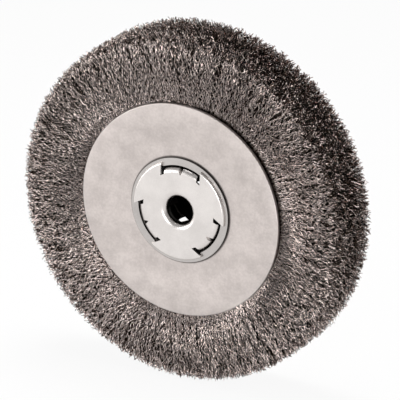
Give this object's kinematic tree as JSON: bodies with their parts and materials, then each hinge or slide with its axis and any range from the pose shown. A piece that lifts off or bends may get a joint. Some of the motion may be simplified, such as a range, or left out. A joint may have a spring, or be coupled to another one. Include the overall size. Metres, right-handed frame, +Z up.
{
  "type": "crimped wire wheel brush",
  "caption": "Crimped steel wire wheel brush for a bench grinder, with stamped side plates and pull-out reducing adapters that step its arbor hole down to a shaft.",
  "frame": {"origin": "centre of the wheel, on its axis and in its middle plane", "axes": "+Y along the wheel's axis, from the front plate to the rear plate; +Z up, with the wheel standing on its rim; +X to the right seen from the front"},
  "size_m": [0.2036, 0.0376, 0.2029],
  "materials": {
    "plate_steel": "cold-rolled steel, dull satin",
    "tube_steel": "rolled steel tube, dull",
    "ring_steel": "plain steel",
    "adapter_steel": "bright pressed steel, satin",
    "wire_steel": "crimped tempered steel wire"
  },
  "bodies": {
    "wheel": {"front_plate": "plate_steel", "rear_plate": "plate_steel", "arbor_tube": "tube_steel", "front_holding_ring": "ring_steel", "rear_holding_ring": "ring_steel", "front_wires_1": "wire_steel", "front_wires_2": "wire_steel", "front_wires_3": "wire_steel", "front_wires_4": "wire_steel", "front_wires_5": "wire_steel", "front_wires_6": "wire_steel", "front_wires_7": "wire_steel", "front_wires_8": "wire_steel", "rear_wires_1": "wire_steel", "rear_wires_2": "wire_steel", "rear_wires_3": "wire_steel", "rear_wires_4": "wire_steel", "rear_wires_5": "wire_steel", "rear_wires_6": "wire_steel", "rear_wires_7": "wire_steel", "rear_wires_8": "wire_steel"},
    "front_adapter": {"front_adapter": "adapter_steel"},
    "rear_adapter": {"rear_adapter": "adapter_steel"}
  },
  "joints": [
    {"name": "front_adapter_pull", "type": "slide", "parent": "wheel", "child": "front_adapter", "axis": [0, -1, 0], "range_m": [0, 0.04]},
    {"name": "rear_adapter_pull", "type": "slide", "parent": "wheel", "child": "rear_adapter", "axis": [0, 1, 0], "range_m": [0, 0.04]}
  ]
}
